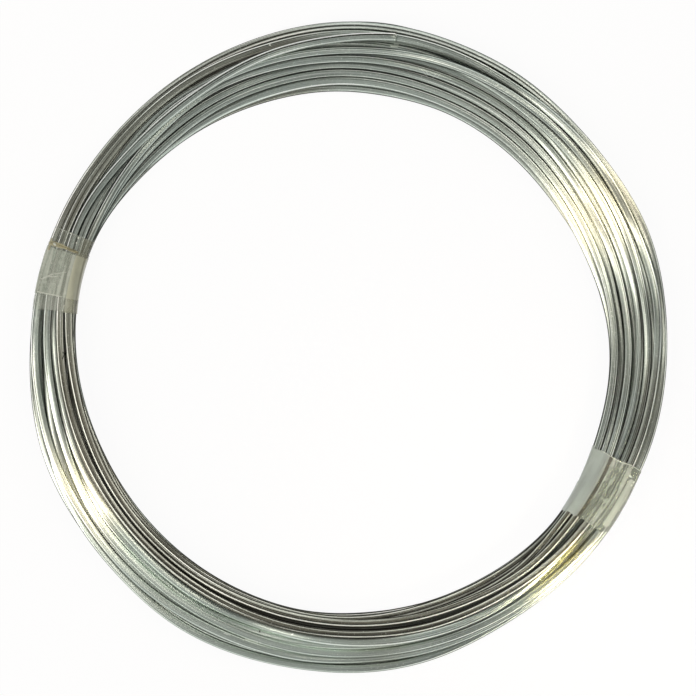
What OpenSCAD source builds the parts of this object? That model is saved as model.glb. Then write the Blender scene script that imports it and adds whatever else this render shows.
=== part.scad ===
// Coil of galvanised steel wire, lying flat and held by two bands of clear adhesive tape.
// Millimetres, +Z up. The origin is at the middle of the eye, on the surface that the coil lies on.

/* [Wire] */
// Diameter of the wire
wire_d = 2; // [1.4:0.1:3]
// Gap between neighbouring turns
turn_gap = 0.08; // [0.04:0.02:0.3]
// Angle at which the cut end lies, counter-clockwise from +X
cut_end_angle = 81; // [40:1:120]

/* [Coil] */
// Diameter of the open eye
eye_d = 132; // [110:1:200]
// Turns in the bottom layer
bottom_turns = 7; // [6:1:9]
// Layers that cover the one below, each with one turn fewer
full_layers = 3; // [2:1:3]
// Turns that lie on the outer grooves of the last full layer
crest_turns = 2; // [2:1:3]

/* [Tape] */
// Width of the tape
tape_w = 18; // [12:1:24]
// Thickness of the tape with its glue
tape_t = 0.1; // [0.05:0.01:0.2]
// Clearance between the taut tape and the turns
tape_gap = 0.05; // [0.02:0.01:0.1]
// Angle of the middle of the left band
left_band_angle = 165; // [140:1:190]
// Distance along the coil between the left band's two wraps
wrap_shift = 4; // [1:0.5:6]
// Angle of the middle of the right band
right_band_angle = 330.5; // [300:0.5:345]
// Distance of the right band's loose edge from the eye
lap_edge = 5; // [3:0.5:7]

/* [Hidden] */
$fn = 96;

// Nested turns: each layer rests in the grooves of the one below it.
pitch = wire_d + turn_gap;
layer_rise = pitch * sin(60);
wire_r = wire_d / 2;
eye_r = eye_d / 2;
bundle_w = (bottom_turns - 1) * pitch + wire_d;
middle_r = eye_r + bundle_w / 2;
groove_floor = wire_r / 3;

// The tape lies two thick under the bottom layer and lifts it off the surface.
glue_bed = tape_t / 5;
first_layer_z = tape_gap + 2 * tape_t + wire_r;

// Places count in pitches from the middle of the bundle, outward from the eye.
edge_place = (bottom_turns - 1) / 2;
top_layer = full_layers - 1;
top_edge_place = edge_place - top_layer / 2;
crest_place = top_edge_place - 1 / 2;
tail_place = crest_place - 1 / 2;

function slot(layer, place) = [middle_r + place * pitch, first_layer_z + layer * layer_rise];

CREST = [for (turn = [0 : crest_turns - 1]) slot(full_layers, crest_place - turn)];
TURNS = concat(
    [for (layer = [0 : top_layer], turn = [0 : bottom_turns - 1 - layer])
        slot(layer, turn - edge_place + layer / 2)],
    CREST);
TAIL = slot(full_layers + 1, tail_place);

// The core runs through the outermost turns, and follows the step up to the crest.
CORE = [
    slot(0, -edge_place),
    slot(0, edge_place),
    CREST[0],
    CREST[crest_turns - 1],
    slot(top_layer, crest_place - crest_turns + 1 / 2),
    slot(top_layer, -top_edge_place)];

function arc_angle(length) = length / middle_r * 180 / PI;

module turns(slots) {
    for (place = slots) translate(place) circle(wire_r);
}

module filled(outline) {
    offset(delta = groove_floor) polygon(outline);
}

// The last turn runs from the cut end to the right band, where it dips in among the others.
module tail() {
    rotate(cut_end_angle)
        rotate_extrude(angle = right_band_angle - cut_end_angle) {
            turns([TAIL]);
            filled([TAIL, CREST[1], CREST[0]]);
        }
}

module wire_coil() {
    color([0.52, 0.55, 0.52]) {
        rotate_extrude() {
            turns(TURNS);
            filled(CORE);
        }
        tail();
    }
}

// Outline of something pulled taut round all the turns, this far clear of them.
module taut_outline(clearance) {
    hull() for (place = concat(TURNS, [TAIL])) translate(place) circle(wire_r + clearance);
}

// Section of one layer of tape, with this clearance inside it.
module tape_layer(clearance) {
    difference() {
        taut_outline(clearance + tape_t);
        taut_outline(clearance);
    }
}

// The second layer beds into the glue side of the first.
module second_tape_layer() {
    difference() {
        taut_outline(tape_gap + 2 * tape_t);
        taut_outline(tape_gap + tape_t - glue_bed);
    }
}

// Carries a section over the tape's width, centred on an angle of the coil.
module wrap(angle) {
    rotate(angle - arc_angle(tape_w) / 2) rotate_extrude(angle = arc_angle(tape_w)) children();
}

module left_tape_band() {
    color([0.80, 0.80, 0.72, 0.5]) {
        wrap(left_band_angle - arc_angle(wrap_shift) / 2) tape_layer(tape_gap);
        wrap(left_band_angle + arc_angle(wrap_shift) / 2) second_tape_layer();
    }
}

module right_tape_band() {
    color([0.78, 0.80, 0.77, 0.5]) {
        wrap(right_band_angle) tape_layer(tape_gap);
        wrap(right_band_angle) intersection() {
            second_tape_layer();
            translate([eye_r + lap_edge, 0]) square(2 * bundle_w);
        }
    }
}

wire_coil();
left_tape_band();
right_tape_band();
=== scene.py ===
"""Coil of galvanised steel wire: one long wire laid in nested turns, held by two bands of clear tape."""
import logging
import math
from dataclasses import dataclass, field
from enum import Enum
from typing import Any, ClassVar

import bmesh
import bpy
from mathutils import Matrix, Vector
import numpy as np


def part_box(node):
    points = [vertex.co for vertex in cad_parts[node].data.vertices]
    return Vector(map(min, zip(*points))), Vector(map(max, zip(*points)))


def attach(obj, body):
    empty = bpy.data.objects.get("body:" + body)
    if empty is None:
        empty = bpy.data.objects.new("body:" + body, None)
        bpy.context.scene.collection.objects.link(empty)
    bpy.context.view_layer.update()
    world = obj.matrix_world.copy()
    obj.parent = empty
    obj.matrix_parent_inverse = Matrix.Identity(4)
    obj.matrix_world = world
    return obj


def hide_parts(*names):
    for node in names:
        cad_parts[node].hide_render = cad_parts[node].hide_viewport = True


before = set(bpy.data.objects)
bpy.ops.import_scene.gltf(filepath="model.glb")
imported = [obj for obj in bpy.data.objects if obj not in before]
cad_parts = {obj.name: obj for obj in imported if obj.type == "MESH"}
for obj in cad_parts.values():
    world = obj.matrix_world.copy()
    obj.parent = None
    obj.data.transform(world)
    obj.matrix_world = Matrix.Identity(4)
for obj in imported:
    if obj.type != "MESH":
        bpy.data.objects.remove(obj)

LOG = logging.getLogger("wire_coil")
MM = 0.001
MERGE_DISTANCE = 1e-6
NEARLY_NOTHING = 1e-9
TURN = 360.0
STREAK_RADIUS = 74.0
WHITE = (1.0, 1.0, 1.0)
BODY = "root"

Colour = tuple[float, float, float]
Pair = tuple[float, float]
Inputs = dict[Any, Any]
Settings = dict[str, Any]
Socket = bpy.types.NodeSocket


# ---- Shader graphs ----


class Value:
    """A number inside a shader graph, so that shader maths reads as a Python expression."""

    def __init__(self, graph: "Graph", socket: Socket) -> None:
        """Wraps one output socket of the graph."""
        self.graph = graph
        self.socket = socket

    def _maths(self, operation: str, *terms: Any, clamp: bool = False) -> "Value":
        """Adds one Math node.

        Args:
            operation: The Math node's operation.
            terms: Its inputs in order, numbers or values.
            clamp: Whether the result is held between 0 and 1.

        Returns:
            The node's result.
        """
        settings = {"operation": operation, "use_clamp": clamp}
        return self.graph.value("Math", settings, dict(enumerate(terms)))

    def __add__(self, other: Any) -> "Value":
        """Sum."""
        return self._maths("ADD", self, other)

    __radd__ = __add__

    def __sub__(self, other: Any) -> "Value":
        """Difference."""
        return self._maths("SUBTRACT", self, other)

    def __rsub__(self, other: Any) -> "Value":
        """Difference from a number."""
        return self._maths("SUBTRACT", other, self)

    def __mul__(self, other: Any) -> "Value":
        """Product."""
        return self._maths("MULTIPLY", self, other)

    __rmul__ = __mul__

    def __truediv__(self, other: Any) -> "Value":
        """Quotient."""
        return self._maths("DIVIDE", self, other)

    def __pow__(self, other: Any) -> "Value":
        """Power."""
        return self._maths("POWER", self, other)

    def __abs__(self) -> "Value":
        """Size without its sign."""
        return self._maths("ABSOLUTE", self)

    def cosine(self) -> "Value":
        """Cosine of an angle in radians."""
        return self._maths("COSINE", self)

    def sine(self) -> "Value":
        """Sine of an angle in radians."""
        return self._maths("SINE", self)

    def arctangent(self, other: Any) -> "Value":
        """Angle in radians of the point whose height is this value and whose width is the other."""
        return self._maths("ARCTAN2", self, other)

    def fraction(self) -> "Value":
        """The part after the whole number."""
        return self._maths("FRACT", self)

    def wrapped(self, span: float) -> "Value":
        """The value brought between 0 and a span by whole spans."""
        return self._maths("FLOORED_MODULO", self, span)

    def clamped(self) -> "Value":
        """The value held between 0 and 1."""
        return self._maths("ADD", self, 0.0, clamp=True)

    def larger(self, other: Any) -> "Value":
        """The larger of two values."""
        return self._maths("MAXIMUM", self, other)

    def rise(self, start: float, end: float) -> "Value":
        """A smooth rise from 0 at start to 1 at end.

        Args:
            start: Where the rise starts.
            end: Where it ends; below start, it is a smooth fall.

        Returns:
            The value between 0 and 1.
        """
        low, high = sorted((start, end))
        inputs = {"Value": self, "From Min": low, "From Max": high}
        up = self.graph.value("MapRange", {"interpolation_type": "SMOOTHSTEP"}, inputs)
        return up if start < end else 1.0 - up

    def within(self, low: float, high: float, soft: float) -> "Value":
        """1 between two bounds and 0 outside them, with a soft step at each."""
        return self.swell(low - soft, low + soft, high - soft, high + soft)

    def swell(self, start: float, full: float, waning: float, end: float) -> "Value":
        """A smooth rise from 0 at start to 1 at full, and a smooth fall from there at waning to 0 at end."""
        return self.rise(start, full) * self.rise(end, waning)


class Graph:
    """A node tree that is filled in by code."""

    # Sockets of a Mix node that mixes colours, which share their names with its other sockets.
    MIX_FACTOR, MIX_FIRST, MIX_SECOND, MIX_RESULT = 0, 6, 7, 2

    def __init__(self, tree: bpy.types.NodeTree) -> None:
        """Takes a node tree and empties it."""
        self.tree = tree
        tree.nodes.clear()

    def node(self, kind: str, inputs: Inputs | None = None, settings: Settings | None = None) -> Any:
        """Adds a node.

        Args:
            kind: The node's type without its ShaderNode prefix.
            inputs: Values, links or plain numbers by the socket's name or number.
            settings: Properties, set before the sockets.

        Returns:
            The new node.
        """
        node = self.tree.nodes.new("ShaderNode" + kind)
        for name, value in (settings or {}).items():
            setattr(node, name, value)
        for key, value in (inputs or {}).items():
            self._feed(node.inputs[key], value)
        return node

    def _feed(self, socket: Socket, value: Any) -> None:
        """Links a socket, or sets its constant.

        Args:
            socket: An input of a node.
            value: A value, an output socket, a number or a colour.
        """
        source = value.socket if isinstance(value, Value) else value
        if isinstance(source, Socket):
            self.tree.links.new(source, socket)
        elif isinstance(source, tuple) and len(source) == 3 and socket.type == "RGBA":
            socket.default_value = (*source, 1.0)
        else:
            socket.default_value = source

    def value(self, kind: str, settings: Settings, inputs: Inputs, output: Any = 0) -> Value:
        """Adds a node and returns one of its outputs as a value."""
        return Value(self, self.node(kind, inputs, settings).outputs[output])

    def parts(self, vector: Socket) -> tuple[Value, Value, Value]:
        """The three parts of a vector."""
        split = self.node("SeparateXYZ", {"Vector": vector})
        return tuple(Value(self, part) for part in split.outputs)

    def vector(self, x: Any, y: Any, z: Any = 0.0) -> Socket:
        """A vector made of three values."""
        return self.node("CombineXYZ", {"X": x, "Y": y, "Z": z}).outputs[0]

    def colour_mix(self, factor: Any, first: Any, second: Any, blend: str = "MIX") -> Socket:
        """Mixes two colours.

        Args:
            factor: 0 for the first colour, 1 for the second.
            first: A colour or a colour socket.
            second: A colour or a colour socket.
            blend: The Mix node's blend type.

        Returns:
            The mixed colour's socket.
        """
        settings = {"data_type": "RGBA", "blend_type": blend, "clamp_factor": True}
        inputs = {self.MIX_FACTOR: factor, self.MIX_FIRST: first, self.MIX_SECOND: second}
        return self.node("Mix", inputs, settings).outputs[self.MIX_RESULT]

    def noise(self, vector: Any, scale: float, detail: float = 2.0, roughness: float = 0.5) -> Value:
        """Smooth noise between 0 and 1 over a vector."""
        inputs = {"Vector": vector, "Scale": scale, "Detail": detail, "Roughness": roughness}
        return self.value("TexNoise", {"noise_dimensions": "3D"}, inputs, "Fac")

    def polar(self, solid: Socket) -> tuple[Value, Value]:
        """Polar coordinates about the coil's axis.

        Args:
            solid: Object coordinates.

        Returns:
            Angle in degrees from 0 to 360, and radius in millimetres.
        """
        x, y, _ = self.parts(solid)
        angle = (y.arctangent(x) * math.degrees(1.0)).wrapped(TURN)
        return angle, (x * x + y * y) ** 0.5 * (1.0 / MM)

    def stretched(self, vector: Socket, scale: tuple[float, float, float]) -> Socket:
        """A vector scaled along each axis."""
        return self.node("VectorMath", {0: vector, 1: scale}, {"operation": "MULTIPLY"}).outputs[0]

    def sight(self) -> tuple[Value, Value]:
        """Tells the rays in which the background shows from those that light the object.

        Returns:
            1 for camera rays, and 1 for camera rays, rays in gloss and rays through film.
        """
        rays = self.node("LightPath").outputs
        camera, glossy, through = (
            Value(self, rays[f"Is {kind} Ray"]) for kind in ("Camera", "Glossy", "Transmission"))
        return camera, camera.larger(glossy).larger(through)


def new_material(name: str) -> tuple[bpy.types.Material, Graph]:
    """Makes an empty node material.

    Args:
        name: The material's name.

    Returns:
        The material and its graph.
    """
    material = bpy.data.materials.new(name)
    material.use_nodes = True
    return material, Graph(material.node_tree)


# ---- Meshes ----


@dataclass
class Grid:
    """A surface on a grid of two parameters, closed in the second; uv has one more column than points."""

    points: np.ndarray
    uv: np.ndarray

    def quads(self) -> np.ndarray:
        """Joins neighbouring points.

        Returns:
            Corner indices of each quad, counter-clockwise where the columns run that way round the rows.
        """
        rows, columns = self.points.shape[:2]
        row, column = np.meshgrid(np.arange(rows - 1), np.arange(columns), indexing="ij")
        here, beside = row * columns + column, row * columns + (column + 1) % columns
        return np.stack([here, beside, beside + columns, here + columns], -1).reshape(-1, 4)

    def quad_uv(self) -> np.ndarray:
        """Reads the UV at each quad's corners.

        Returns:
            One row a corner, in the order of the quads.
        """
        rows, columns = self.uv.shape[:2]
        row, column = np.meshgrid(np.arange(rows - 1), np.arange(columns - 1), indexing="ij")
        picks = [(row, column), (row, column + 1), (row + 1, column + 1), (row + 1, column)]
        return np.stack([self.uv[r, c] for r, c in picks], -2).reshape(-1, 2)


def grid_object(name: str, grids: list[Grid]) -> bpy.types.Object:
    """Makes one smooth mesh object of several grids.

    Args:
        name: The object's and its mesh's name.
        grids: The surfaces, in metres in the frame.

    Returns:
        The object, at the origin.
    """
    points = np.concatenate([grid.points.reshape(-1, 3) for grid in grids])
    starts = np.cumsum([0] + [grid.points.shape[0] * grid.points.shape[1] for grid in grids[:-1]])
    quads = np.concatenate([grid.quads() + start for grid, start in zip(grids, starts)])
    uv = np.concatenate([grid.quad_uv() for grid in grids])
    mesh = bpy.data.meshes.new(name)
    mesh.vertices.add(len(points))
    mesh.vertices.foreach_set("co", points.astype(np.float32).ravel())
    mesh.loops.add(quads.size)
    mesh.loops.foreach_set("vertex_index", quads.astype(np.int32).ravel())
    mesh.polygons.add(len(quads))
    mesh.polygons.foreach_set("loop_start", np.arange(0, quads.size, 4, dtype=np.int32))
    mesh.polygons.foreach_set("use_smooth", np.ones(len(quads), dtype=bool))
    mesh.update(calc_edges=True)
    layer = mesh.uv_layers.new(name="surface")
    layer.data.foreach_set("uv", uv.astype(np.float32).ravel())
    mesh.validate()
    work = bmesh.new()
    work.from_mesh(mesh)
    bmesh.ops.remove_doubles(work, verts=work.verts, dist=MERGE_DISTANCE)
    work.to_mesh(mesh)
    work.free()
    piece = bpy.data.objects.new(name, mesh)
    bpy.context.scene.collection.objects.link(piece)
    return piece


def round_to_xyz(radius: np.ndarray, angle: np.ndarray, height: np.ndarray) -> np.ndarray:
    """Points in metres from radius and height in millimetres and angle in radians."""
    return np.stack([radius * np.cos(angle), radius * np.sin(angle), height], -1) * MM


def catmull_rom(values: np.ndarray, place: np.ndarray) -> np.ndarray:
    """Reads a Catmull-Rom spline.

    Between two values it is the cubic whose slope at each is half the difference of that value's neighbours.

    Args:
        values: Values at whole places.
        place: Where to read, each with one value or more before it and two after.

    Returns:
        The curve at those places.
    """
    index = np.floor(place).astype(int)
    share = place - index
    before, here, after, beyond = (values[index + step] for step in (-1, 0, 1, 2))
    square = 2 * before - 5 * here + 4 * after - beyond
    cube = 3 * (here - after) + beyond - before
    return here + 0.5 * share * (after - before + share * (square + share * cube))


def periodic_curve(values: tuple[float, ...], degrees: np.ndarray) -> np.ndarray:
    """Reads a closed smooth curve through evenly spaced values, the first at 0 degrees."""
    closed = np.array(values + values[:2] + values[-1:])
    return catmull_rom(closed, np.mod(degrees, TURN) * len(values) / TURN)


# ---- The wire's route ----


@dataclass
class Winding:
    """The route of the wire: radius and height in millimetres against turns from the cut end.

    The route is a uniform cubic B-spline in radius and height. Turns are counted from the cut end, so the
    turns with low numbers were wound last and lie on top. Samples are taken this many to a turn, with a knot
    at every few of them. The edges of the bundle are radii at even steps from 0 degrees, and each row of the
    lay holds the radii of one turn at even steps from its start.
    """

    floor_z: float
    top_z: float
    wire_d: float = 2.0
    turns: float = 20.69
    cut_angle: float = 81.5
    samples: int = 120
    knot_step: int = 4
    fit_rounds: int = 30
    rounds: int = 1500
    push_gain: float = 1.3
    knot_gain: float = 1.2
    least_share: float = 1e-6
    sorting_lift: float = 0.8
    least_lift: float = 0.02
    sinking: float = 0.03
    drawn_rounds: float = 0.9
    top_turns: float = 4.0
    top_pull: float = 0.3
    laid_pull: float = 0.18
    hidden_pull: float = 0.04
    hidden_outside: float = 0.9
    hidden_inside: float = -1.0
    handover: float = 0.25
    inner_edge: tuple[float, ...] = (65.4, 63.5, 62.9, 63.2, 63.8, 64.5, 65.6, 67.1, 69.0,
                                     68.2, 66.7, 66.1, 66.2, 66.6, 66.3, 66.7, 67.3, 65.9)
    outer_edge: tuple[float, ...] = (79.8, 80.7, 79.8, 80.8, 82.2, 81.2, 80.0, 79.1, 79.1,
                                     79.6, 81.1, 81.0, 82.0, 81.4, 81.4, 79.6, 79.7, 79.6)
    lay: tuple[tuple[float, ...], ...] = (
        (77.6, 73.8, 72.2, 71.0, 70.4, 70.4, 71.3, 73.0, 74.1, 75.0, 75.3, 75.3),
        (74.5, 73.5, 71.4, 69.4, 68.3, 68.2, 68.7, 69.9, 70.2, 70.0, 70.1, 71.5),
        (72.4, 72.9, 70.5, 69.9, 69.6, 69.3, 69.9, 71.4, 72.4, 73.1, 73.5, 74.4),
        (76.0, 74.6, 73.6, 73.0, 72.7, 72.7, 73.5, 74.6, 73.8, 72.1, 72.0, 74.0),
        (73.6, 72.2, 71.0, 70.2, 69.4, 68.9, 69.3, 69.3, 68.6, 68.2, 68.4, 69.5),
        (70.8, 71.0, 69.8, 69.0, 68.2, 67.6, 67.9, 67.9, 67.2, 66.5, 66.4, 67.6),
        (68.9, 69.1, 69.1, 68.9, 67.9, 67.3, 67.8, 68.0, 67.6, 66.6, 64.5, 65.7),
        (67.0, 67.0, 69.4, 72.3, 73.9, 74.2, 74.5, 75.4, 76.3, 77.3, 77.9, 77.7),
        (78.7, 77.8, 76.2, 74.9, 75.1, 75.8, 76.2, 76.8, 77.9, 78.8, 79.4, 79.7),
        (80.4, 79.0, 78.1, 78.0, 78.4, 78.3, 78.0, 77.9, 77.6, 77.0, 76.6, 77.2),
        (77.6, 75.8, 74.9, 75.4, 76.9, 77.0, 75.4, 74.6, 75.5, 76.5, 78.5, 79.6),
        (79.5, 78.5, 77.6, 76.7, 79.9, 80.9, 80.5, 78.8, 78.2, 78.6, 79.0, 79.2))
    lay_start: float = 90.0
    lay_before: tuple[float, ...] = (83.0, 80.4)
    lay_after: tuple[float, ...] = (79.2, 79.2, 79.2)
    knots: np.ndarray = field(init=False)

    def __post_init__(self) -> None:
        """Lays the wire and lets it settle."""
        self._count = int(round(self.turns * self.samples)) + 1
        self._at = np.arange(self._count) / self.samples
        self._first, self._weights = self._basis(self._at)
        self._knot_count = int(self._first.max()) + 4
        self._share = self._gather(np.ones((self._count, 1)))
        self.knots = np.zeros((self._knot_count, 2))
        self._settle()

    @property
    def wire_r(self) -> float:
        """Radius of the wire."""
        return self.wire_d / 2

    def degrees(self, at: np.ndarray) -> np.ndarray:
        """Angle of the coil at a number of turns from the cut end."""
        return self.cut_angle + at * TURN

    def _basis(self, at: np.ndarray) -> tuple[np.ndarray, np.ndarray]:
        """Cubic B-spline weights.

        Args:
            at: Turns from the cut end.

        Returns:
            The first of the four knots that act at each place, and their weights.
        """
        place = at * self.samples / self.knot_step
        last = math.ceil(self.turns * self.samples / self.knot_step) - 1
        first = np.clip(np.floor(place).astype(int), 0, last)
        share = place - first
        nearer = 3 * share**3 - 6 * share**2 + 4
        farther = 1 + 3 * share + 3 * share**2 - 3 * share**3
        return first, np.stack([(1 - share) ** 3, nearer, farther, share**3], -1) / 6

    def _gather(self, pushes: np.ndarray) -> np.ndarray:
        """Sums what acts on the samples at the knots, each by its weight.

        Args:
            pushes: What acts on each sample, one column an axis.

        Returns:
            The sum at each knot.
        """
        sums = np.zeros((self._knot_count, pushes.shape[1]))
        for step in range(4):
            for axis in range(pushes.shape[1]):
                felt = self._weights[:, step] * pushes[:, axis]
                sums[:, axis] += np.bincount(self._first + step, felt, self._knot_count)
        return sums

    def route(self, at: np.ndarray) -> np.ndarray:
        """Radius and height at any number of turns from the cut end, in millimetres."""
        first, weights = self._basis(at)
        return sum(weights[..., step, None] * self.knots[first + step] for step in range(4))

    def _target(self, low: np.ndarray, high: np.ndarray) -> np.ndarray:
        """Where each sample would lie if nothing were in its way.

        The topmost turns follow the lay, on a smooth curve through its radii. The turns below them are
        hidden, and lie evenly from the outside to the eye.

        Args:
            low: Least radius of a wire's centre at each sample.
            high: Greatest radius of a wire's centre at each sample.

        Returns:
            The radius of each sample.
        """
        stations = np.concatenate([self.lay_before, *self.lay, self.lay_after])
        steps_a_turn = len(self.lay[0])
        place = (self.degrees(self._at) - self.lay_start) / TURN * steps_a_turn + len(self.lay_before)
        laid = catmull_rom(stations, np.minimum(place, len(stations) - len(self.lay_after)))
        past = self._at - len(self.lay)
        below = np.clip(past / (self.turns - len(self.lay)), 0, 1)
        inward = self.hidden_outside - (self.hidden_outside - self.hidden_inside) * below
        neat = (low + high) / 2 + (high - low) / 2 * inward
        share = np.clip(past / self.handover, 0, 1)
        return laid * (1 - share) + neat * share

    def _settle(self) -> None:
        """Finds a route in which no two turns overlap and every turn lies on the ones below.

        Each round reads the route at the samples, pushes overlapping turns apart, draws every turn a little
        towards its place and down, holds it between the edges, the floor and the top, and moves the knots by
        the mean of the pushes that they feel. At first, of two turns that overlap the one nearer the cut end
        also goes up and the other down, so that the wire wound last ends on top.
        """
        degrees = self.degrees(self._at)
        low = periodic_curve(self.inner_edge, degrees) + self.wire_r
        high = periodic_curve(self.outer_edge, degrees) - self.wire_r
        target = self._target(low, high)
        pull = np.where(self._at < len(self.lay), self.laid_pull, self.hidden_pull)
        pull[self._at < self.top_turns] = self.top_pull
        bottom, top = self.floor_z + self.wire_r, self.top_z - self.wire_r
        height = bottom + (top - bottom) * (1 - self._at / self.turns)
        start = np.stack([target, height], -1)
        felt = np.maximum(self._share, self.least_share)
        for _ in range(self.fit_rounds):
            self.knots += self._gather(start - self.route(self._at)) / felt
        rows = math.ceil(self._count / self.samples)
        upper, lower = np.triu_indices(rows, 1)
        pairs = np.arange(len(upper))
        effect = np.zeros((rows, len(pairs)))
        effect[upper, pairs] = 0.5
        effect[lower, pairs] = -0.5
        here = np.arange(rows * self.samples).reshape(rows, -1) < self._count
        both = here[upper] & here[lower]
        for done in np.arange(self.rounds) / self.rounds:
            at = self.route(self._at)
            turns = np.zeros((rows * self.samples, 2))
            turns[: self._count] = at
            turns = turns.reshape(rows, -1, 2)
            apart = turns[upper] - turns[lower]
            overlap = np.where(both, np.maximum(self.wire_d - np.linalg.norm(apart, axis=-1), 0), 0)
            apart[..., 1] += self.sorting_lift * (1 - done) ** 2 + self.least_lift
            way = apart / (np.linalg.norm(apart, axis=-1, keepdims=True) + NEARLY_NOTHING)
            push = self.push_gain * np.tensordot(effect, way * overlap[..., None], axes=(1, 0))
            push = push.reshape(-1, 2)[: self._count]
            if done < self.drawn_rounds:
                push[:, 0] += pull * (target - at[:, 0]) * (1 - done)
                push[:, 1] -= self.sinking * (1 - done)
            moved = at + push
            push[:, 0] += np.clip(moved[:, 0], low, high) - moved[:, 0]
            push[:, 1] += np.clip(moved[:, 1], bottom, top) - moved[:, 1]
            self.knots += self.knot_gain * self._gather(push) / felt
        LOG.info("settled: deepest overlap %.3f mm", overlap.max())

    def section(self, degrees: np.ndarray) -> np.ndarray:
        """Centres of all turns where the bundle is cut.

        Args:
            degrees: Angles of the cuts, any shape.

        Returns:
            Radius and height of each turn in a further axis, with turns that end before the cut as NaN.
        """
        first = np.mod(degrees - self.cut_angle, TURN) / TURN
        at = first[..., None] + np.arange(math.ceil(self.turns))
        centres = self.route(np.minimum(at, self.turns))
        return np.where((at <= self.turns)[..., None], centres, np.nan)


# ---- Finishes ----


@dataclass(frozen=True)
class Streak:
    """A straight mark seen from above: a scratch, a crease or, with its ends together, a speck.

    Its ends are given by degrees round the coil and radius in millimetres, and its width in millimetres. The
    core is the share of that width over which it is full.
    """

    CORE: ClassVar[float] = 0.4

    start: Pair
    end: Pair
    width: float = 0.2
    strength: float = 1.0

    def mask(self, angle: Value, radius: Value) -> Value:
        """1 on the mark, falling to 0 at its width.

        The distance is that to the segment between the ends, after degrees have been turned into millimetres.

        Args:
            angle: Degrees round the coil.
            radius: Radius in millimetres.

        Returns:
            The mask, up to the mark's strength.
        """
        scale = math.radians(1.0) * STREAK_RADIUS
        run, climb = (self.end[0] - self.start[0]) * scale, self.end[1] - self.start[1]
        along, across = (angle - self.start[0]) * scale, radius - self.start[1]
        share = ((along * run + across * climb) / max(run * run + climb * climb, NEARLY_NOTHING)).clamped()
        aside, beyond = along - share * run, across - share * climb
        core = self.CORE * self.width
        return (aside * aside + beyond * beyond).rise(self.width**2, core**2) * self.strength

    @staticmethod
    def together(marks: tuple["Streak", ...], angle: Value, radius: Value) -> Value:
        """Masks several marks, the strongest holding where they cross.

        Args:
            marks: The marks, or none.
            angle: Degrees round the coil.
            radius: Radius in millimetres.

        Returns:
            The mask of them all.
        """
        total = angle * 0.0
        for mark in marks:
            total = total.larger(mark.mask(angle, radius))
        return total


@dataclass(frozen=True)
class Patch:
    """An area seen from above, between two angles round the coil and within edges of its radius.

    The angles are in degrees, the first below 0 where the area reaches across that. The mask rises from each
    edge's first radius to its second, in millimetres, and the least share of it holds beyond the edges too.
    """

    first: float
    last: float
    soft: float
    edges: tuple[Pair, ...] = ()
    strength: float = 1.0
    least: float = 0.0

    def mask(self, angle: Value, radius: Value) -> Value:
        """1 in the area and 0 outside it, times the strength.

        Args:
            angle: Degrees round the coil.
            radius: Radius in millimetres.

        Returns:
            The mask.
        """
        margin = TURN / 4
        turned = (angle + (margin - self.first)).wrapped(TURN)
        across = 1.0
        for edge in self.edges:
            across = radius.rise(*edge) * across
        held = self.least + (1.0 - self.least) * across
        return turned.within(margin, margin + self.last - self.first, self.soft) * held * self.strength


@dataclass(frozen=True)
class Mottle:
    """Marks made of a noise: where it starts to show, where it shows in full, and how strongly."""

    start: float
    full: float
    strength: float

    def mask(self, noise: Value) -> Value:
        """The marks, up to their strength."""
        return noise.rise(self.start, self.full) * self.strength


class Stretch(Enum):
    """Stretches of the wire in turns from the cut end: where each starts, is full, wanes and ends."""

    TAIL = (-1.0, 0.0, 0.13, 0.17)
    EYE_OVER = (-1.0, 0.0, 2.4, 2.8)
    EYE_UNDER = (3.9, 4.1, 6.7, 6.9)
    EYE_EDGE = (4.5, 4.7, 6.9, 7.1)
    EYE_BROWN = (3.8, 4.1, 6.7, 7.0)
    EYE_HIDDEN = (18.4, 18.6, 30.0, 31.0)
    SHADED = (2.38, 2.44, 2.61, 2.67)
    CREST = (8.88, 8.92, 9.11, 9.15)
    RIM_EDGE = (7.8, 8.0, 12.9, 13.1)
    RIM_BROWN = (8.01, 8.02, 30.0, 31.0)
    PALE_OVER = (2.95, 3.05, 3.95, 4.05)
    PALE_RIM = (6.95, 7.05, 11.95, 12.05)

    def mask(self, turns: Value) -> Value:
        """1 on the stretch."""
        return turns.swell(*self.value)


class Part(Enum):
    """Parts of every turn, in turns on from the cut end's angle, each given as a stretch is."""

    LEFT = (0.25, 0.31, 0.67, 0.72)
    LOWER_LEFT = (0.36, 0.42, 0.52, 0.60)
    EYE_BROWN = (0.20, 0.30, 0.60, 0.74)
    RIM_BROWN = (0.02, 0.06, 0.20, 0.26)

    def mask(self, turns: Value) -> Value:
        """1 on that part of every turn."""
        return turns.fraction().swell(*self.value)


class Run(Enum):
    """Where along the wire a line runs: here and there on any turn, or all along some stretches."""

    OUTER = "outward half of any turn"
    MIDDLE = "middle of any turn"
    INNER = "inward half of any turn"
    EYE = "turns beside the eye, at the coil's left"
    TAIL = "the cut end's stretch"
    CREST = "a stretch that lies highest"


@dataclass(frozen=True)
class Line:
    """A line along the wire. Across, it lies between -1, the inward flank, and 1, the outward one."""

    run: Run
    low: float
    high: float
    soft: float
    strength: float = 1.0


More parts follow.
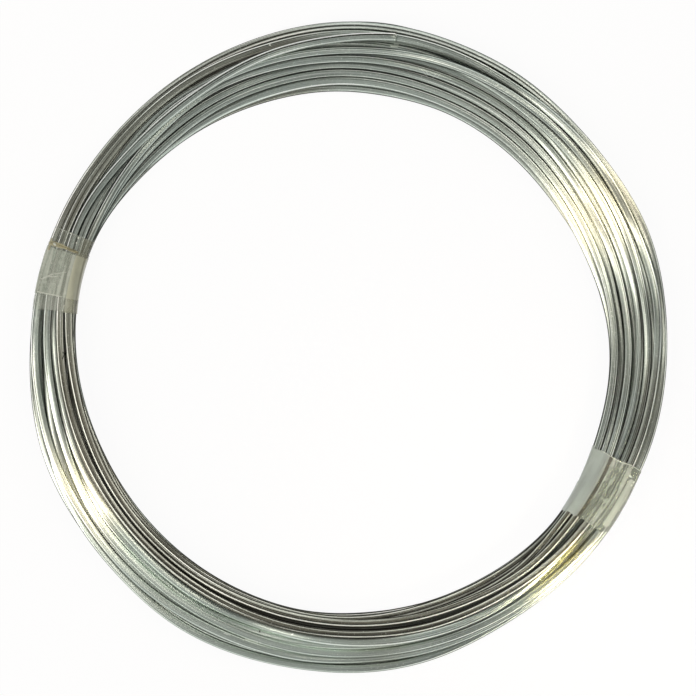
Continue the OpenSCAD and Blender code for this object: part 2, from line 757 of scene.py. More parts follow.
class WirePlace:
    """Where a point of the wire's surface lies in the coil, along the wire and round it, and its texture.

    Side is 1 at the outward flank of the wire and -1 at the inward one, and top is 1 at its upper side. Drawn
    lines, hair lines and grain change this many times in a turn and in a radius of the wire.
    """

    DRAWN = (14.0, 2.8)
    HAIR = (9.0, 4.4)
    GRAIN = (260.0, 4.2)

    def __init__(self, graph: Graph, speckle_scale: float) -> None:
        """Reads Object coordinates and the wire's UV map.

        Args:
            graph: The material's graph.
            speckle_scale: Scale of the zinc's specks.
        """
        place = graph.node("TexCoord")
        along, around, _ = graph.parts(place.outputs["UV"])
        self.graph = graph
        self.solid = place.outputs["Object"]
        self.angle, self.radius = graph.polar(self.solid)
        self.turns = along
        self.tail = Stretch.TAIL.mask(along)
        self.eye = Stretch.EYE_OVER.mask(along).larger(Stretch.EYE_UNDER.mask(along))
        self.side = (around * math.tau).cosine()
        self.top = (around * math.tau).sine()
        self.drawn = self.lines(*self.DRAWN)
        self.hair = self.lines(*self.HAIR)
        self.grain = self.lines(*self.GRAIN)
        self.speckle = graph.noise(self.solid, speckle_scale, 3.0, 0.6)

    def lines(self, along: float, across: float) -> Value:
        """Noise drawn out along the wire, without a seam round it.

        Args:
            along: Changes in a turn.
            across: Changes in a radius of the wire.

        Returns:
            The noise.
        """
        vector = self.graph.vector(self.turns * along, self.side * across, self.top * across)
        return self.graph.noise(vector, 1.0, 3.0, 0.55)

    def wander(self, changes: float, start: float) -> Value:
        """Slow noise along the wire, by its changes in a turn and a number that sets it apart."""
        return self.graph.noise(self.graph.vector(self.turns * changes, start), 1.0, 1.0)

    def patch(self, patch: Patch) -> Value:
        """The mask of an area."""
        return patch.mask(self.angle, self.radius)


@dataclass(frozen=True)
class Zones:
    """Masks of the places where the zinc is unlike the rest, and how much lighter it is there.

    Highlit takes in the painted highlights: cream-tinted at the right and the lower left, and yellow-tinted
    at the lower right.
    """

    pale: Value
    brown: Value
    lower_right_highlit: Value
    highlight_tint: Value
    clean: Value
    lift: Value


@dataclass(frozen=True)
class GalvanisedFinish:
    """Dull zinc coat: grey with a green cast, browner in places, drawn into fine lines along the wire.

    A painted highlight line, standing for the floor's reflection, runs near the outward edge of each turn,
    with a painted shade line beside it, and painted shade lies in the flanks where turns meet. Where
    highlights are painted the zinc has fewer shade lines and less painted shade, pale zinc is less marked and
    has less painted shade, and brown zinc has brighter and darker lines.
    """

    cool: Colour = (0.306, 0.352, 0.320)
    warm: Colour = (0.202, 0.206, 0.170)
    # bright and dark colour hair lines, specks and scratches, and also the painted highlight and shade lines
    bright: Colour = (0.82, 0.88, 0.82)
    dark: Colour = (0.045, 0.045, 0.038)
    # tints of the painted highlights where the lamps' highlights fall
    highlight_tint: Colour = (1.0, 0.90, 0.80)
    highlight_gold: Colour = (1.0, 0.88, 0.66)
    edge_tint: Colour = (0.3, 0.3, 0.28)
    metal: float = 0.9
    roughness: float = 0.37
    dullness: float = 0.32
    drawing: float = 0.9
    grain_turn: float = 0.25
    relief_depth: float = 0.00007
    speckle_scale: float = 2200.0
    patch_scale: float = 26.0
    # painted light: the flanks of each turn are made lighter to lift the shade between turns
    flank_light_gain: float = 0.9
    hair_bright: Mottle = Mottle(0.55, 0.64, 0.5)
    hair_dark: Mottle = Mottle(0.46, 0.38, 0.5)
    flecks: Mottle = Mottle(0.60, 0.72, 0.28)
    patches: Mottle = Mottle(0.5, 0.68, 0.4)
    highlight_line_share: float = 0.55
    shade_line_share: float = 0.7
    # fewer painted shade lines where highlights are painted
    highlit_unshaded: float = 0.6
    pale_unmarked: float = 0.6
    brown_brighter: float = 0.4
    brown_darker: float = 0.8
    # less painted shade in the crevices where highlights are painted
    highlit_shade_free: float = 0.7
    pale_free: float = 0.85
    # how dark the painted shade in the crevices between turns gets
    crevice_shade_depth: float = 0.88
    shade_depth: float = 0.7
    # how dark the patches of painted shade get
    patch_shade_depth: float = 0.3
    pale_lift: float = 0.05
    pale_inner_lift: float = 0.25
    # painted highlight: how much lighter the lower right patch is
    lower_right_highlight_lift: float = 0.6
    crown_lift: float = 0.14
    # painted highlights: how much lighter the right and lower left patches are
    right_highlight_lift: float = 0.08
    left_highlight_lift: float = 0.30
    # the first, third and fourth patches are painted highlights where the lamps' highlights fall; the crown
    # lifts the inner top
    lower_right_highlight: Patch = Patch(307.0, 321.0, 4.0, ((73.0, 74.5),))
    crown: Patch = Patch(58.0, 137.0, 8.0, ((76.5, 75.0),))
    right_highlight: Patch = Patch(20.0, 38.0, 8.0)
    left_highlight: Patch = Patch(201.0, 217.0, 7.0, ((71.0, 72.0), (79.9, 78.9)))
    # browner, darker zinc on the outer right
    right_brown: Patch = Patch(335.0, 356.0, 4.0, ((74.0, 75.0),), 0.5)
    # patches of painted shade, darkening where the lamps' highlights spread too far
    shade_patches: tuple[Patch, ...] = (
        Patch(-20.0, 11.0, 5.0, ((74.5, 76.5),), least=0.4), Patch(3.0, 13.0, 4.0, ((70.0, 71.5),), 0.6),
        Patch(186.0, 234.0, 6.0, ((72.0, 70.5),)), Patch(183.0, 197.0, 5.0, ((75.5, 77.5),), 1.2),
        Patch(312.0, 330.0, 4.0, ((72.0, 70.5),), 1.2), Patch(8.0, 42.0, 6.0, ((78.4, 79.6),)))
    # painted highlight lines: the floor's reflection near both edges of each turn, on the eye, the crest and
    # the tail
    highlight_lines: tuple[Line, ...] = (
        Line(Run.OUTER, 0.60, 0.84, 0.06), Line(Run.INNER, -0.90, -0.72, 0.05),
        Line(Run.EYE, 0.42, 0.68, 0.04), Line(Run.EYE, -0.70, -0.48, 0.04, 0.8),
        Line(Run.CREST, 0.25, 0.50, 0.05, 1.7), Line(Run.CREST, -0.65, -0.35, 0.05, 1.7),
        Line(Run.TAIL, 0.72, 0.99, 0.03, 1.7))
    # painted shade lines beside the painted highlight lines, and down the middle of some turns
    shade_lines: tuple[Line, ...] = (
        Line(Run.OUTER, 0.34, 0.50, 0.05), Line(Run.INNER, -0.58, -0.46, 0.05, 0.5),
        Line(Run.MIDDLE, -0.14, -0.02, 0.05, 0.9), Line(Run.EYE, 0.12, 0.34, 0.04, 1.2),
        Line(Run.CREST, -0.15, 0.10, 0.05, 1.4), Line(Run.CREST, -1.0, -0.80, 0.05, 1.4),
        Line(Run.TAIL, 0.28, 0.66, 0.03, 1.4))
    scratches: tuple[Streak, ...] = (
        Streak((250.6, 77.1), (252.9, 76.9), 0.26), Streak((253.3, 76.9), (253.6, 76.9), 0.2),
        Streak((71.8, 71.2), (71.4, 72.4), 0.13, 0.4), Streak((72.6, 71.1), (71.9, 72.6), 0.12, 0.4),
        Streak((73.9, 70.9), (75.3, 72.1), 0.13, 0.4), Streak((73.5, 71.6), (72.4, 71.1), 0.16, 0.35),
        Streak((74.3, 71.9), (73.7, 71.5), 0.12, 0.4), Streak((80.7, 76.5), (81.8, 76.4), 0.4),
        Streak((80.6, 77.0), (81.3, 76.9), 0.2), Streak((246.5, 77.7), (247.7, 77.5), 0.2, 0.6),
        Streak((104.4, 78.1), (104.5, 78.2), 0.22), Streak((258.9, 72.9), (259.1, 72.7), 0.22, 0.8))
    stains: tuple[Streak, ...] = (
        Streak((252.7, 74.3), (252.7, 74.1), 0.22), Streak((180.9, 71.0), (181.2, 70.7), 0.2),
        Streak((181.2, 70.7), (182.2, 71.2), 0.17), Streak((122.9, 75.0), (123.2, 75.0), 0.2))

    def material(self) -> bpy.types.Material:
        """Builds the node material.

        Returns:
            The material.
        """
        material, graph = new_material("galvanised_wire")
        at = WirePlace(graph, self.speckle_scale)
        zones = self._zones(at)
        tone = self._tone(at, zones)
        grey = graph.node("CombineColor", {"Red": tone, "Green": tone, "Blue": tone}).outputs[0]
        toned = graph.colour_mix(1.0, self._coat(at, zones), grey, "MULTIPLY")
        # painted highlights: tinted cream at the right and lower left, and yellow at the lower right
        tinted = graph.colour_mix(zones.highlight_tint, toned, self.highlight_tint, "MULTIPLY")
        gold_highlit = graph.colour_mix(zones.lower_right_highlit, tinted, self.highlight_gold, "MULTIPLY")
        scratched, stained = (
            Streak.together(marks, at.angle, at.radius) for marks in (self.scratches, self.stains))
        base = graph.colour_mix(stained, graph.colour_mix(scratched, gold_highlit, self.bright), self.dark)
        rough = self.roughness + 0.1 * (at.speckle - 0.5) + 0.2 * (at.drawn - 0.5)
        rough = rough + self.dullness * zones.brown - 0.1 * zones.lower_right_highlit
        relief = at.drawn * 0.4 + at.hair * 0.3 + at.speckle * 0.03
        bump = graph.node("Bump", {"Height": relief, "Distance": self.relief_depth, "Strength": 1.0})
        shader = graph.node("BsdfPrincipled", {
            "Base Color": base, "Metallic": self.metal, "Roughness": rough.clamped(),
            "Normal": bump.outputs[0], "Specular Tint": self.edge_tint, "Anisotropic": self.drawing,
            "Anisotropic Rotation": self.grain_turn})
        graph.node("OutputMaterial", {"Surface": shader.outputs[0]})
        return material

    def _zones(self, at: WirePlace) -> Zones:
        """Masks the places where the zinc is unlike the rest.

        Brown are the eye's lower left and the rim's upper left, and pale is the middle of the lower left.

        Args:
            at: Place on the wire.

        Returns:
            The masks.
        """
        patches = (self.lower_right_highlight, self.crown, self.right_highlight, self.left_highlight, self.right_brown)
        lower_right_highlit, crown, right, left, right_brown = (at.patch(patch) for patch in patches)
        pale_turns = Stretch.PALE_RIM.mask(at.turns).larger(Stretch.PALE_OVER.mask(at.turns))
        pale = Part.LOWER_LEFT.mask(at.turns) * pale_turns
        eye_turns = Stretch.EYE_OVER.mask(at.turns) + Stretch.EYE_BROWN.mask(at.turns)
        eye = Part.EYE_BROWN.mask(at.turns) * eye_turns
        rim = Part.RIM_BROWN.mask(at.turns) * Stretch.RIM_BROWN.mask(at.turns)
        brown = (eye + 0.7 * rim).clamped().larger(right_brown)
        # painted highlights at the right and the lower left
        highlight_tint = right.larger(left)
        lift = pale * (self.pale_lift + self.pale_inner_lift * at.radius.rise(76.8, 75.4))
        # the painted highlights at the lower right, the right and the lower left lift the zinc; the crown
        # lifts the inner top
        lift = lift + self.lower_right_highlight_lift * lower_right_highlit + self.crown_lift * crown
        lift = lift + self.right_highlight_lift * right + self.left_highlight_lift * left
        return Zones(pale, brown, lower_right_highlit, highlight_tint, highlight_tint.larger(lower_right_highlit), lift)

    def _coat(self, at: WirePlace, zones: Zones) -> Socket:
        """Mixes the zinc's colour before its tone: cool or warm, with bright and dark lines and specks.

        Args:
            at: Place on the wire.
            zones: Where the zinc is unlike the rest.

        Returns:
            The colour's socket.
        """
        graph = at.graph
        # masks of the painted highlight lines and the painted shade lines
        highlight_lines, shade_lines = self._flanks(at)
        shade_lines = shade_lines * (1.0 - self.highlit_unshaded * zones.clean)
        marked = 1.0 - self.pale_unmarked * zones.pale
        # bright: hair lines and painted highlight lines; dark: hair lines and painted shade lines
        bright = self.hair_bright.mask(at.hair) + highlight_lines * self.highlight_line_share
        bright = bright * (marked + self.brown_brighter * zones.brown)
        dark = self.hair_dark.mask(at.hair) + shade_lines * self.shade_line_share
        dark = dark * (marked + self.brown_darker * zones.brown)
        warmth = zones.brown + self.patches.mask(graph.noise(at.solid, self.patch_scale))
        zinc = graph.colour_mix(warmth.clamped(), self.cool, self.warm)
        marked_and_highlit = graph.colour_mix(bright.clamped(), zinc, self.bright)
        marked_and_shaded = graph.colour_mix(dark.clamped(), marked_and_highlit, self.dark)
        return graph.colour_mix(self.flecks.mask(at.speckle), marked_and_shaded, self.bright)

    def _tone(self, at: WirePlace, zones: Zones) -> Value:
        """How light the zinc is: uneven, with painted light on the flanks, and painted shade in crevices, on
        a shaded stretch and in patches.

        Args:
            at: Place on the wire.
            zones: Where the zinc is unlike the rest.

        Returns:
            A factor for its colour.
        """
        unrest = at.drawn - 0.5 + 0.5 * (at.grain - 0.5) + 0.4 * (at.speckle - 0.5)
        mottle = 1.0 + unrest * (1.0 - 0.5 * zones.pale) + zones.lift
        # painted light on the flanks of each turn
        flanks = 1.0 + self.flank_light_gain * abs(at.side).rise(0.45, 0.80)
        # painted shade in the crevices, less where highlights are painted and on pale zinc
        free = self.highlit_shade_free * zones.clean.larger(self.pale_free * zones.pale)
        crevice_shade = self._crevice_shade(at) * (1.0 - free)
        # painted shade in patches
        patch_shade = sum(at.patch(patch) for patch in self.shade_patches)
        light = mottle * flanks * (1.0 - self.crevice_shade_depth * crevice_shade)
        light = light * (1.0 - self.shade_depth * Stretch.SHADED.mask(at.turns))
        return light * (1.0 - self.patch_shade_depth * patch_shade)

    def _flanks(self, at: WirePlace) -> tuple[Value, Value]:
        """Masks painted highlight and shade lines along the wire, which sway a little, and come and go on
        most turns.

        Args:
            at: Place on the wire.

        Returns:
            The masks of the painted highlight lines and of the painted shade lines.
        """
        sway, outer, middle, inner = (at.wander(8.0, start) for start in (0.0, 3.0, 11.0, 7.0))
        eye = at.eye * Part.LEFT.mask(at.turns)
        crest = Stretch.CREST.mask(at.turns)
        plain = 1.0 - at.tail.larger(crest).larger(eye)
        runs = {
            Run.OUTER: outer.rise(0.36, 0.56) * plain, Run.INNER: inner.rise(0.45, 0.62) * plain,
            Run.MIDDLE: middle.rise(0.48, 0.58).larger(0.8 * at.eye),
            Run.EYE: eye, Run.TAIL: at.tail, Run.CREST: crest}
        swayed = at.side + 0.3 * (sway - 0.5)
        sides = {run: at.side if run in (Run.TAIL, Run.CREST) else swayed for run in Run}
        highlight_lines, shade_lines = (
            sum(sides[line.run].within(line.low, line.high, line.soft) * runs[line.run] * line.strength
                for line in lines)
            for lines in (self.highlight_lines, self.shade_lines))
        return highlight_lines, shade_lines

    @staticmethod
    def _crevice_shade(at: WirePlace) -> Value:
        """Masks painted shade: coming and going in the crevices where turns touch, and more on the outermost
        and innermost flanks.

        Args:
            at: Place on the wire.

        Returns:
            The mask.
        """
        outward, inward = (at.wander(6.0, start).rise(0.42, 0.58) for start in (17.0, 23.0))
        met = at.side.rise(0.84, 0.94) * (0.25 + 0.75 * outward)
        met = met + at.side.rise(-0.84, -0.94) * (0.25 + 0.75 * inward)
        eye = abs(at.side).rise(0.72, 0.84) * at.eye
        outermost = at.side.rise(0.74, 0.90) * Stretch.RIM_EDGE.mask(at.turns)
        eye_turns = Stretch.EYE_EDGE.mask(at.turns).larger(Stretch.EYE_HIDDEN.mask(at.turns))
        innermost = at.side.rise(-0.74, -0.90) * eye_turns
        return met.larger(eye).larger(outermost).larger(innermost) * (1.0 - 0.9 * at.tail)


@dataclass(frozen=True)
class ClearTapeFinish:
    """Clear film with haze, fibres, creases, yellowed glue and painted highlights along its cut edges.

    The film is clear where it is single, hazy where two wraps lie on each other, and looks solid on the
    smooth facet that spans from the highest wires to the eye.
    """

    name: str
    haze: Colour
    facet: Colour
    facet_radius: float
    facet_opacity: float
    clear: float
    hazy: float
    hazy_span: Pair
    # light marks: creases, specks and pale bands, and painted highlights along the film's cut edges
    light: tuple[Streak, ...]
    dark: tuple[Streak, ...]
    glue_marks: tuple[Streak, ...] = ()
    fold: float = 0.0
    fold_width: float = 1.8
    facet_soft: float = 0.12
    facet_waver: float = 0.5
    facet_start: Pair = (160.9, 161.3)
    hazy_soft: float = 0.15
    wetting: Mottle = Mottle(0.50, 0.36, 0.22)
    loose_fibres: Mottle = Mottle(0.45, 0.65, 0.35)
    loose_film: Mottle = Mottle(0.50, 0.64, 0.5)
    dim_film: Mottle = Mottle(0.55, 0.35, 0.12)
    dim_cloud: Mottle = Mottle(0.55, 0.35, 0.10)
    pale: Colour = (0.66, 0.72, 0.66)
    shade: Colour = (0.10, 0.10, 0.07)
    glue: Colour = (0.36, 0.33, 0.17)
    roughness: float = 0.34
    relief_depth: float = 0.0001
    relief_strength: float = 0.6
    cloud_scale: float = 260.0
    fibre_scale: tuple[float, float, float] = (500.0, 160.0, 1.0)
    contact_scale: Pair = (0.10, 1.15)

    def material(self) -> bpy.types.Material:
        """Builds the node material.

        Returns:
            The material.
        """
        material, graph = new_material(self.name)
        place = graph.node("TexCoord")
        solid = place.outputs["Object"]
        angle, radius = graph.polar(solid)
        cloud = graph.noise(solid, self.cloud_scale, 3.0)
        fibres = graph.noise(graph.stretched(place.outputs["UV"], self.fibre_scale), 1.0, 4.0, 0.65)
        along, across = self.contact_scale
        contact = graph.noise(graph.vector(angle * along, radius * across), 1.0)
        inner, outer = self.facet_radius - self.facet_soft, self.facet_radius + self.facet_soft
        facet = (radius + self.facet_waver * (cloud - 0.5)).rise(outer, inner)
        hazy = angle.within(*self.hazy_span, self.hazy_soft)
        light, dark, glue = (
            Streak.together(marks, angle, radius) for marks in (self.light, self.dark, self.glue_marks))
        wetted = graph.colour_mix(self.wetting.mask(contact), self.haze, self.shade)
        loose = self.loose_fibres.mask(fibres) + self.loose_film.mask(contact)
        film = graph.colour_mix(loose, wetted, self.pale)
        folded = radius.rise(self.facet_radius - self.fold_width, self.facet_radius) * self.fold
        dim = self.dim_film.mask(contact) + self.dim_cloud.mask(cloud) + folded
        backed = graph.colour_mix(dim, self.facet, self.shade)
        smooth = graph.colour_mix(facet, film, backed)
        stained = graph.colour_mix(glue, smooth, self.glue)
        shaded = graph.colour_mix(dark, stained, self.shade)
        colour = graph.colour_mix(light, shaded, self.pale)
        veil = self.clear + (self.hazy - self.clear) * hazy
        veil = veil * (1.0 + 0.7 * (cloud - 0.5) + 0.7 * (fibres - 0.5) + 1.6 * (contact - 0.5))
        covered = facet * self.facet_opacity * (0.2 + 0.3 * angle.rise(*self.facet_start) + 0.5 * hazy)
        solid_parts = covered.larger(glue * 0.8).larger(light * 0.75).larger(dark * 0.7)
        alpha = veil.larger(solid_parts).clamped()
        relief = fibres * 0.4 + cloud * 0.6 + (light + glue) * 1.5
        bump = graph.node("Bump", {
            "Height": relief, "Distance": self.relief_depth, "Strength": self.relief_strength})
        shader = graph.node("BsdfPrincipled", {
            "Base Color": colour, "Roughness": self.roughness, "Alpha": alpha, "Normal": bump.outputs[0]})
        graph.node("OutputMaterial", {"Surface": shader.outputs[0]})
        return material


# ---- Pieces ----


@dataclass
class WireCoil:
    """The wire itself, as one tube carried along its route, with two snipped ends."""

    winding: Winding
    finish: GalvanisedFinish = GalvanisedFinish()
    rings_a_turn: int = 240
    sides: int = 18
    snip_depth: float = 0.5
    snip_turn: float = 0.9
    snip_steps: tuple[float, ...] = (0.94, 0.75, 0.4, 0.0)
    burr: float = 0.55
    burr_width: float = 0.3

    def centre_line(self) -> np.ndarray:
        """Reads the route at every ring.

        Returns:
            Centres of all rings, in metres.
        """
        at = np.linspace(0.0, self.winding.turns, int(self.winding.turns * self.rings_a_turn) + 1)
        radius, height = self.winding.route(at).T
        return round_to_xyz(radius, np.radians(self.winding.degrees(at)), height)

    def surface(self, line: np.ndarray) -> Grid:
        """The tube's surface.

        A ring lies square to the route at each centre: its first axis is the outward direction less its part
        along the route, and its second is square to both. At either end the ring shrinks in steps to its
        middle and rises to a ridge, as side cutters leave it, and the cut end has a burr on its inward side.

        Args:
            line: Centres of the rings.

        Returns:
            The grid, with turns from the cut end and the share of the way round the wire as UV.
        """
        along = np.gradient(line, axis=0)
        along /= np.linalg.norm(along, axis=1, keepdims=True)
        outward = line * (1.0, 1.0, 0.0)
        outward -= along * np.sum(outward * along, axis=1, keepdims=True)
        outward /= np.linalg.norm(outward, axis=1, keepdims=True)
        upward = np.cross(outward, along)
        around = np.arange(self.sides) * 2 * np.pi / self.sides
        radius = self.winding.wire_r * MM
        ring = np.cos(around)[:, None] * outward[:, None] + np.sin(around)[:, None] * upward[:, None]
        body = line[:, None] + radius * ring
        shrink = np.array(self.snip_steps)[:, None]
        ridge = self.snip_depth * MM * (1 - np.abs(np.sin(around + self.snip_turn)) * shrink)
        ends = []
        for end, way in ((0, -1.0), (-1, 1.0)):
            burr = self.burr * MM * np.exp(-(((around - math.pi) / self.burr_width) ** 2)) * (end == 0)
            reach = ridge + burr * shrink
            cap = line[end] + shrink[..., None] * radius * ring[end] + way * reach[..., None] * along[end]
            ends.append(cap)
        points = np.concatenate([ends[0][::-1], body, ends[1]])
        turns = np.pad(np.linspace(0.0, self.winding.turns, len(line)), len(shrink), mode="edge")
        u, v = np.meshgrid(turns, np.linspace(0, 1, self.sides + 1), indexing="ij")
        return Grid(points, np.stack([u, v], -1))

    def build(self) -> bpy.types.Object:
        """Makes the wire and puts it in the place of its CAD solid.

        Returns:
            The piece.
        """
        line = self.centre_line()
        piece = grid_object("wire", [self.surface(line)])
        piece.data.materials.append(self.finish.material())
        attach(piece, BODY)
        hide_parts("wire_coil")
        return piece


@dataclass
class TapeWrap:
    """One turn of tape round the bundle, taut over the wires that stand out most.

    It runs from start to end in degrees round the coil, with both slanted from the eye to the rim. The end's
    edge is wavy: each wave has its number round the bundle, its height and where it starts.
    """

    winding: Winding
    start: float
    end: float
    lift: float
    start_slant: float = 0.0
    end_slant: float = 0.0
    waviness: float = 0.0
    waves: tuple[tuple[float, float, float], ...] = ((7.0, 1.0, 0.6), (17.0, 0.7, 0.0), (29.0, 0.5, 2.0))
    thickness: float = 0.09
    middle_radius: float = 73.0
    stations: int = 60
    rays: int = 144

    def skin(self, lift: float) -> tuple[np.ndarray, np.ndarray]:
        """One face of the tape.

        For each direction square to the coil, the point of the bundle that reaches furthest that way carries
        the tape: the centre of that turn plus the wire's radius and the lift along the direction.

        Args:
            lift: Distance from the wires.

        Returns:
            The points and their UV, in metres along the coil and turns round the bundle.
        """
        rays = np.arange(self.rays) * 2 * np.pi / self.rays
        share, ray = np.meshgrid(np.linspace(0, 1, self.stations), rays, indexing="ij")
        wave = sum(height * np.sin(count * ray + start) for count, height, start in self.waves)
        first = self.start + self.start_slant * np.cos(ray)
        last = self.end + self.end_slant * np.cos(ray) + self.waviness * wave
        degrees = first + share * (last - first)
        centres = self.winding.section(degrees)
        way = np.stack([np.cos(ray), np.sin(ray)], -1)
        reach = np.sum(centres * way[..., None, :], -1)
        best = np.argmax(np.where(np.isnan(reach), -np.inf, reach), -1)
        carrier = np.take_along_axis(centres, best[..., None, None], -2)[..., 0, :]
        at = carrier + (self.winding.wire_r + lift) * way
        points = round_to_xyz(at[..., 0], np.radians(degrees), at[..., 1])
        along = share * math.radians(self.end - self.start) * self.middle_radius * MM
        uv = np.stack([along, ray / (2 * np.pi)], -1)
        return points, np.concatenate([uv, uv[:, :1] + (0.0, 1.0)], 1)

    def shell(self) -> Grid:
        """Closes the shell: the outer face, over the edge, and back along the inner face.

        Returns:
            The shell's surface.
        """
        outer, outer_uv = self.skin(self.lift + self.thickness)
        inner, inner_uv = self.skin(self.lift)
        points = np.concatenate([outer, inner[::-1], outer[:1]])
        uv = np.concatenate([outer_uv, inner_uv[::-1], outer_uv[:1]])
        return Grid(points[::-1], uv[::-1])


@dataclass
class TapeBand:
    """A band of one or more wraps of tape."""

    name: str
    node: str
    wraps: list[TapeWrap]
    finish: ClearTapeFinish

    def build(self) -> bpy.types.Object:
        """Makes the band and puts it in the place of its CAD solid.

        Returns:
            The piece.
        """
        piece = grid_object(self.name, [wrap.shell() for wrap in self.wraps])
        piece.data.materials.append(self.finish.material())
        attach(piece, BODY)
        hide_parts(self.node)
        LOG.info("%s: %d wraps", self.name, len(self.wraps))
        return piece


# ---- Studio ----


@dataclass(frozen=True)
class SoftBox:
    """An upright soft box, turned towards a point this far out from the middle of the coil.

    Azimuth, elevation and the spread of its beam are in degrees, its power in watts, and the rest in metres.
    """

    name: str
    azimuth: float
    power: float
    colour: Colour
    elevation: float = 45.0
    distance: float = 1.0
    width: float = 0.22
    height: float = 1.1
    aim: float = 0.0
    spread: float = 180.0

    def build(self) -> None:
        """Adds the lamp."""
        data = bpy.data.lights.new(self.name, "AREA")
        data.shape = "RECTANGLE"
        data.size = self.width
        data.size_y = self.height
        data.energy = self.power
        data.color = self.colour
        data.spread = math.radians(self.spread)
        light = bpy.data.objects.new(self.name, data)
        azimuth, elevation = math.radians(self.azimuth), math.radians(self.elevation)
        outward = Vector((math.cos(azimuth), math.sin(azimuth), 0.0))
        away = self.distance * (math.cos(elevation) * outward + Vector((0.0, 0.0, math.sin(elevation))))
        light.location = away + self.aim * outward
        light.rotation_euler = away.to_track_quat("Z", "Y").to_euler()
        bpy.context.scene.collection.objects.link(light)


@dataclass(frozen=True)
class Studio:
    """A pale floor in plain soft light, seen from straight above."""

    camera_height: float = 1.2
    view_width: float = 0.174
    sensor_width: float = 36.0
    subject_height: float = 0.005
    ambient: float = 0.07
    floor_size: float = 6.0
    floor_colour: Colour = (0.82, 0.82, 0.81)
    floor_glow: float = 0.94
    lamps: tuple[SoftBox, ...] = (
        SoftBox("right_lamp", 29.5, 6.5, (1.0, 0.90, 0.79)),
        SoftBox("left_lamp", 203.5, 9.2, (1.0, 0.90, 0.82)),
        SoftBox("small_lamp", 314.0, 0.016, (1.0, 0.90, 0.66), distance=0.3, width=0.07, height=0.1,
                aim=0.0765, spread=18.0))

    def camera(self) -> None:
        """Adds the camera, with a long lens that looks straight down."""
        data = bpy.data.cameras.new("camera")
        data.sensor_width = self.sensor_width
        data.lens = data.sensor_width * (self.camera_height - self.subject_height) / self.view_width
        camera = bpy.data.objects.new("camera", data)
        camera.location = (0.0, 0.0, self.camera_height)
        bpy.context.scene.collection.objects.link(camera)
        bpy.context.scene.camera = camera

    def world(self) -> None:
        """Lights evenly from all round, and shows white behind the object and in its gloss.

        In its gloss the ceiling is a little dimmer than the walls, with a darker edge between them.
        """
        world = bpy.data.worlds.new("world")
        bpy.context.scene.world = world
        world.use_nodes = True
        graph = Graph(world.node_tree)
        camera, seen = graph.sight()
        plain = graph.node("Background", {"Color": WHITE, "Strength": self.ambient})
        _, _, height = graph.parts(graph.node("TexCoord").outputs["Generated"])
        ceiling = 0.33 * height.rise(0.30, 0.55) + 0.2 * height.within(0.50, 0.62, 0.06)
        white = graph.node("Background", {"Color": WHITE, "Strength": 1.0 - ceiling * (1.0 - camera)})
        mixed = graph.node("MixShader", {0: seen, 1: plain.outputs[0], 2: white.outputs[0]})
        graph.node("OutputWorld", {"Surface": mixed.outputs[0]})

    def floor(self) -> None:
        """Lays the floor, white to the camera but for the object's shadow."""
        half = self.floor_size / 2
        mesh = bpy.data.meshes.new("floor")
        square = [(-half, -half, 0.0), (half, -half, 0.0), (half, half, 0.0), (-half, half, 0.0)]
        mesh.from_pydata(square, [], [(0, 1, 2, 3)])
        floor = bpy.data.objects.new("floor", mesh)
        bpy.context.scene.collection.objects.link(floor)
        material, graph = new_material("floor")
        _, seen = graph.sight()
        paint = graph.node("BsdfDiffuse", {"Color": self.floor_colour})
        glow = graph.node("Emission", {"Color": WHITE, "Strength": 1.0})
        mixed = graph.node("MixShader", {0: seen * self.floor_glow, 1: paint.outputs[0], 2: glow.outputs[0]})
        graph.node("OutputMaterial", {"Surface": mixed.outputs[0]})
        mesh.materials.append(material)

    def build(self) -> None:
        """Sets up camera, lamps, world and floor."""
        bpy.context.scene.view_settings.view_transform = "Standard"
        self.camera()
        for lamp in self.lamps:
            lamp.build()
        self.world()
        self.floor()


def left_film() -> ClearTapeFinish:
    """The older, yellower band: a ridge of glue where the second wrap starts, and creases across it."""
    return ClearTapeFinish(
        name="left_tape", haze=(0.405, 0.475, 0.415), facet=(0.425, 0.458, 0.362), facet_radius=71.45,
        facet_opacity=0.85, clear=0.07, hazy=0.42, hazy_span=(161.2, 170.0),
        light=(
            Streak((167.3, 78.3), (166.0, 76.0), 0.22, 0.8), Streak((166.0, 76.0), (165.0, 72.8), 0.2, 0.6),
            Streak((166.6, 76.7), (166.2, 74.4), 0.18, 0.7), Streak((163.3, 77.5), (164.1, 76.8), 0.2, 0.7),
            # the second mark below is a painted highlight along the first wrap's cut edge
            Streak((169.7, 78.8), (169.8, 72.4), 0.17, 0.75), Streak((157.5, 79.0), (157.5, 69.8), 0.14, 0.4),
            Streak((161.6, 76.1), (169.6, 75.9), 0.22, 0.4), Streak((161.4, 72.15), (170.4, 71.85), 0.4, 0.5),
            Streak((160.45, 77.7), (160.55, 77.4), 0.36), Streak((157.5, 74.75), (157.5, 74.6), 0.25),
            Streak((157.75, 72.5), (157.85, 72.5), 0.28, 0.9),
            Streak((158.8, 72.5), (158.9, 72.4), 0.24, 0.8),
            Streak((171.3, 77.8), (171.3, 72.4), 2.6, 0.28), Streak((162.0, 78.5), (169.5, 78.7), 0.3, 0.45),
            Streak((171.4, 71.5), (172.6, 71.7), 0.16, 0.7), Streak((171.2, 76.2), (172.4, 75.0), 0.13, 0.4)),
        dark=(
            Streak((160.85, 71.9), (160.65, 71.5), 0.24, 0.9),
            Streak((160.55, 74.0), (160.45, 72.2), 0.34, 0.5),
            Streak((161.0, 72.85), (172.6, 72.5), 0.5, 0.3),
            Streak((157.4, 69.45), (172.8, 68.7), 0.26, 0.5)),
        glue_marks=(
            Streak((160.5, 78.6), (160.4, 75.5), 0.75, 0.75), Streak((160.4, 75.5), (160.6, 71.6), 0.5, 0.8),
            Streak((159.9, 78.8), (161.7, 78.6), 0.45, 0.6)))


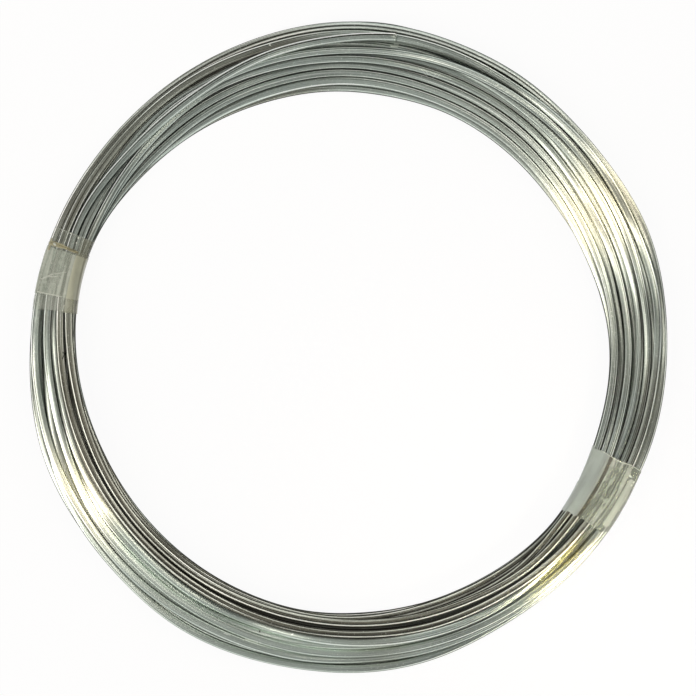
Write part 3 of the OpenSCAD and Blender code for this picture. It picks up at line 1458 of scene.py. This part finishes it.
def right_film() -> ClearTapeFinish:
    """The whiter band: a pale crest, fibres that show the wires beneath, and a smooth facet to the eye."""
    return ClearTapeFinish(
        name="right_tape", haze=(0.312, 0.37, 0.30), facet=(0.385, 0.455, 0.435), facet_radius=70.75,
        facet_opacity=0.9, fold=0.35, clear=0.30, hazy=0.38, hazy_span=(320.0, 341.0),
        light=(
            # the next four marks are a painted highlight along the film's cut edge
            Streak((337.15, 79.2), (337.55, 76.4), 0.17, 0.9),
            Streak((337.55, 76.4), (337.25, 73.6), 0.16, 0.9),
            Streak((337.25, 73.6), (337.6, 71.0), 0.16, 0.9), Streak((337.6, 71.0), (338.2, 66.6), 0.16, 0.8),
            Streak((324.7, 79.2), (323.3, 69.0), 0.15, 0.45), Streak((323.6, 75.9), (333.0, 76.5), 0.22, 0.6),
            Streak((323.8, 74.2), (329.5, 74.5), 0.18, 0.55), Streak((325.8, 77.9), (334.5, 78.2), 1.3, 0.7),
            Streak((323.8, 72.2), (331.0, 72.5), 0.14, 0.4), Streak((323.8, 75.1), (329.0, 75.3), 0.14, 0.4),
            Streak((325.5, 77.3), (331.0, 77.6), 0.4, 0.3), Streak((334.1, 78.6), (334.2, 78.6), 0.34),
            Streak((334.75, 78.7), (334.85, 78.7), 0.34), Streak((335.5, 77.6), (335.6, 77.2), 0.32),
            Streak((335.4, 77.3), (336.0, 76.5), 0.2, 0.6), Streak((336.0, 76.5), (337.2, 76.7), 0.2, 0.6)),
        dark=(
            Streak((324.0, 71.0), (337.4, 71.15), 0.55), Streak((324.0, 73.0), (330.0, 73.2), 0.3, 0.25),
            Streak((324.5, 79.15), (337.0, 79.2), 0.28, 0.5)))


def main() -> None:
    """Builds the studio and the coil."""
    logging.basicConfig(level=logging.INFO, format="%(name)s: %(message)s")
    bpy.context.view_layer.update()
    Studio().build()
    low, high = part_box("wire_coil")
    winding = Winding(floor_z=low[2] / MM, top_z=high[2] / MM)
    WireCoil(winding).build()
    TapeBand("left_tape", "left_tape_band", [
        TapeWrap(winding, start=157.4, end=170.0, lift=0.04),
        TapeWrap(winding, start=160.4, end=172.9, lift=0.15, end_slant=0.1, waviness=0.05)],
        left_film()).build()
    TapeBand("right_tape", "right_tape_band", [
        TapeWrap(winding, start=323.75, end=337.65, lift=0.04, start_slant=0.85, end_slant=-0.6,
                 waviness=0.08)],
        right_film()).build()


if __name__ == "__main__":
    main()
